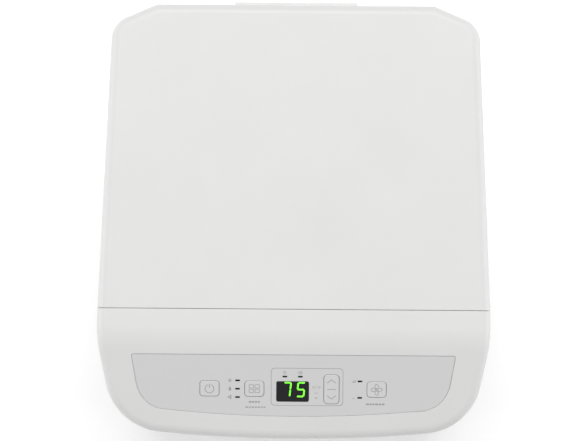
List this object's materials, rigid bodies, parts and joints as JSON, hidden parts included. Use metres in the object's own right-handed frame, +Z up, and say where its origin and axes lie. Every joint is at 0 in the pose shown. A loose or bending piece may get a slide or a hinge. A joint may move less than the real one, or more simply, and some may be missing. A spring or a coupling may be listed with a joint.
{
  "type": "portable air conditioner",
  "caption": "Free-standing room air conditioner on casters, white rounded cabinet with a sloped control panel, front louvres, rear filters and exhaust collar.",
  "frame": {"origin": "on the floor, under the middle of the whole unit", "axes": "+Z up, front of the unit towards -Y, +X to the right as seen from the front's user side looking along +Y"},
  "size_m": [0.3604, 0.4195, 0.712],
  "materials": {
    "shell_white": "fine satin white moulded plastic",
    "overlay_grey": "satin light grey printed plastic",
    "window_dark": "smoked clear display lens",
    "inner_grey": "satin grey moulded plastic",
    "filter_grey": "fine dark woven plastic mesh",
    "coil_aluminium": "thin bright fins",
    "pipe_copper": "drawn copper tube",
    "motor_steel": "zinc-plated steel",
    "compressor_black": "semi-gloss black paint",
    "pan_grey": "dark grey moulded plastic",
    "board_green": "solder-masked circuit board",
    "rubber_black": "black rubber and nylon"
  },
  "bodies": {
    "cabinet": {"front_casing": "shell_white", "rear_casing": "shell_white", "base_pan": "pan_grey", "middle_deck": "inner_grey", "air_duct": "inner_grey", "left_handle_cup": "inner_grey", "right_handle_cup": "inner_grey", "control_overlay": "overlay_grey", "display_window": "window_dark", "display_board": "board_green", "outlet_frame": "inner_grey", "louvre_motor": "motor_steel", "exhaust_collar": "shell_white", "cord_gland": "rubber_black", "evaporator_coil": "coil_aluminium", "condenser_coil": "coil_aluminium", "evaporator_scroll": "inner_grey", "condenser_scroll": "inner_grey", "evaporator_fan_motor": "motor_steel", "condenser_fan_motor": "motor_steel", "compressor": "compressor_black", "suction_line": "pipe_copper", "discharge_line": "pipe_copper", "control_box": "inner_grey"},
    "power_key": {"power_key": "overlay_grey"},
    "mode_key": {"mode_key": "overlay_grey"},
    "fan_speed_key": {"fan_speed_key": "overlay_grey"},
    "temp_rocker_key": {"temp_rocker_key": "overlay_grey"},
    "louvre_blade_1": {"louvre_blade_1": "inner_grey"},
    "louvre_blade_2": {"louvre_blade_2": "inner_grey"},
    "louvre_blade_3": {"louvre_blade_3": "inner_grey"},
    "louvre_blade_4": {"louvre_blade_4": "inner_grey"},
    "louvre_link": {"louvre_link": "inner_grey"},
    "vane_1": {"vane_1": "inner_grey"},
    "vane_2": {"vane_2": "inner_grey"},
    "vane_3": {"vane_3": "inner_grey"},
    "vane_4": {"vane_4": "inner_grey"},
    "vane_5": {"vane_5": "inner_grey"},
    "vane_link": {"vane_link": "inner_grey"},
    "evaporator_fan_wheel": {"evaporator_fan_wheel": "inner_grey"},
    "condenser_fan_wheel": {"condenser_fan_wheel": "inner_grey"},
    "upper_filter_frame": {"upper_filter_frame": "shell_white", "upper_filter_mesh": "filter_grey"},
    "lower_filter_door": {"lower_filter_door": "shell_white", "lower_filter_mesh": "filter_grey"},
    "drain_cap": {"drain_cap": "inner_grey"},
    "drain_plug": {"drain_plug": "inner_grey"},
    "front_left_caster_yoke": {"front_left_caster_yoke": "pan_grey", "front_left_caster_axle": "motor_steel"},
    "front_left_caster_wheel": {"front_left_caster_wheel": "rubber_black"},
    "front_right_caster_yoke": {"front_right_caster_yoke": "pan_grey", "front_right_caster_axle": "motor_steel"},
    "front_right_caster_wheel": {"front_right_caster_wheel": "rubber_black"},
    "rear_left_caster_yoke": {"rear_left_caster_yoke": "pan_grey", "rear_left_caster_axle": "motor_steel"},
    "rear_left_caster_wheel": {"rear_left_caster_wheel": "rubber_black"},
    "rear_right_caster_yoke": {"rear_right_caster_yoke": "pan_grey", "rear_right_caster_axle": "motor_steel"},
    "rear_right_caster_wheel": {"rear_right_caster_wheel": "rubber_black"}
  },
  "joints": [
    {"name": "power_key_press", "type": "slide", "parent": "cabinet", "child": "power_key", "axis": [0, 0.2924, -0.9563], "range_m": [0, 0.0008], "stiffness_N_per_m": 300, "springref_m": -0.001},
    {"name": "mode_key_press", "type": "slide", "parent": "cabinet", "child": "mode_key", "axis": [0, 0.2924, -0.9563], "range_m": [0, 0.0008], "stiffness_N_per_m": 300, "springref_m": -0.001},
    {"name": "fan_speed_key_press", "type": "slide", "parent": "cabinet", "child": "fan_speed_key", "axis": [0, 0.2924, -0.9563], "range_m": [0, 0.0008], "stiffness_N_per_m": 300, "springref_m": -0.001},
    {"name": "temp_rocker_tilt", "type": "hinge", "parent": "cabinet", "child": "temp_rocker_key", "pos_m": [0.0351, -0.164, 0.69808], "axis": [1, 0, 0], "range_deg": [-3, 3], "stiffness_Nm_per_rad": 0.01},
    {"name": "louvre_swing", "type": "hinge", "parent": "cabinet", "child": "louvre_blade_1", "pos_m": [0, -0.182, 0.52787], "axis": [1, 0, 0], "range_deg": [-30, 30]},
    {"name": "louvre_swing_2", "type": "hinge", "parent": "cabinet", "child": "louvre_blade_2", "pos_m": [0, -0.182, 0.55463], "axis": [1, 0, 0], "range_deg": [-30, 30]},
    {"name": "louvre_swing_3", "type": "hinge", "parent": "cabinet", "child": "louvre_blade_3", "pos_m": [0, -0.182, 0.58137], "axis": [1, 0, 0], "range_deg": [-30, 30]},
    {"name": "louvre_swing_4", "type": "hinge", "parent": "cabinet", "child": "louvre_blade_4", "pos_m": [0, -0.182, 0.60813], "axis": [1, 0, 0], "range_deg": [-30, 30]},
    {"name": "louvre_link_pivot", "type": "hinge", "parent": "louvre_blade_1", "child": "louvre_link", "pos_m": [0, -0.166, 0.52787], "axis": [1, 0, 0], "range_deg": [-30, 30]},
    {"name": "vane_swing", "type": "hinge", "parent": "cabinet", "child": "vane_1", "pos_m": [-0.094, -0.142, 0.568], "axis": [0, 0, 1], "range_deg": [-30, 30]},
    {"name": "vane_swing_2", "type": "hinge", "parent": "cabinet", "child": "vane_2", "pos_m": [-0.047, -0.142, 0.568], "axis": [0, 0, 1], "range_deg": [-30, 30]},
    {"name": "vane_swing_3", "type": "hinge", "parent": "cabinet", "child": "vane_3", "pos_m": [0, -0.142, 0.568], "axis": [0, 0, 1], "range_deg": [-30, 30]},
    {"name": "vane_swing_4", "type": "hinge", "parent": "cabinet", "child": "vane_4", "pos_m": [0.047, -0.142, 0.568], "axis": [0, 0, 1], "range_deg": [-30, 30]},
    {"name": "vane_swing_5", "type": "hinge", "parent": "cabinet", "child": "vane_5", "pos_m": [0.094, -0.142, 0.568], "axis": [0, 0, 1], "range_deg": [-30, 30]},
    {"name": "vane_link_pivot", "type": "hinge", "parent": "vane_1", "child": "vane_link", "pos_m": [-0.094, -0.124, 0.568], "axis": [0, 0, 1], "range_deg": [-30, 30]},
    {"name": "evaporator_fan_spin", "type": "hinge", "parent": "cabinet", "child": "evaporator_fan_wheel", "pos_m": [0, 0.0345, 0.5523], "axis": [0, 1, 0], "continuous": true},
    {"name": "condenser_fan_spin", "type": "hinge", "parent": "cabinet", "child": "condenser_fan_wheel", "pos_m": [0, 0.0345, 0.1523], "axis": [0, 1, 0], "continuous": true},
    {"name": "upper_filter_tilt", "type": "hinge", "parent": "cabinet", "child": "upper_filter_frame", "pos_m": [0, 0.183, 0.4866], "axis": [-1, 0, 0], "range_deg": [0, 35]},
    {"name": "lower_door_tilt", "type": "hinge", "parent": "cabinet", "child": "lower_filter_door", "pos_m": [0, 0.183, 0.1006], "axis": [-1, 0, 0], "range_deg": [0, 60]},
    {"name": "drain_cap_pull", "type": "slide", "parent": "cabinet", "child": "drain_cap", "axis": [0, 1, 0], "range_m": [0, 0.02]},
    {"name": "drain_plug_pull", "type": "slide", "parent": "cabinet", "child": "drain_plug", "axis": [0, 1, 0], "range_m": [0, 0.02]},
    {"name": "front_left_swivel", "type": "hinge", "parent": "cabinet", "child": "front_left_caster_yoke", "pos_m": [-0.125, -0.14, 0.05], "axis": [0, 0, 1], "continuous": true},
    {"name": "front_left_roll", "type": "hinge", "parent": "front_left_caster_yoke", "child": "front_left_caster_wheel", "pos_m": [-0.125, -0.128, 0.018], "axis": [1, 0, 0], "continuous": true},
    {"name": "front_right_swivel", "type": "hinge", "parent": "cabinet", "child": "front_right_caster_yoke", "pos_m": [0.125, -0.14, 0.05], "axis": [0, 0, 1], "continuous": true},
    {"name": "front_right_roll", "type": "hinge", "parent": "front_right_caster_yoke", "child": "front_right_caster_wheel", "pos_m": [0.125, -0.128, 0.018], "axis": [1, 0, 0], "continuous": true},
    {"name": "rear_left_swivel", "type": "hinge", "parent": "cabinet", "child": "rear_left_caster_yoke", "pos_m": [-0.125, 0.124, 0.05], "axis": [0, 0, 1], "continuous": true},
    {"name": "rear_left_roll", "type": "hinge", "parent": "rear_left_caster_yoke", "child": "rear_left_caster_wheel", "pos_m": [-0.125, 0.136, 0.018], "axis": [1, 0, 0], "continuous": true},
    {"name": "rear_right_swivel", "type": "hinge", "parent": "cabinet", "child": "rear_right_caster_yoke", "pos_m": [0.125, 0.124, 0.05], "axis": [0, 0, 1], "continuous": true},
    {"name": "rear_right_roll", "type": "hinge", "parent": "rear_right_caster_yoke", "child": "rear_right_caster_wheel", "pos_m": [0.125, 0.136, 0.018], "axis": [1, 0, 0], "continuous": true}
  ],
  "couplings": [
    {"joint": "louvre_swing_2", "follows": "louvre_swing", "ratio": 1},
    {"joint": "louvre_swing_3", "follows": "louvre_swing", "ratio": 1},
    {"joint": "louvre_swing_4", "follows": "louvre_swing", "ratio": 1},
    {"joint": "louvre_link_pivot", "follows": "louvre_swing", "ratio": -1},
    {"joint": "vane_swing_2", "follows": "vane_swing", "ratio": 1},
    {"joint": "vane_swing_3", "follows": "vane_swing", "ratio": 1},
    {"joint": "vane_swing_4", "follows": "vane_swing", "ratio": 1},
    {"joint": "vane_swing_5", "follows": "vane_swing", "ratio": 1},
    {"joint": "vane_link_pivot", "follows": "vane_swing", "ratio": -1}
  ]
}
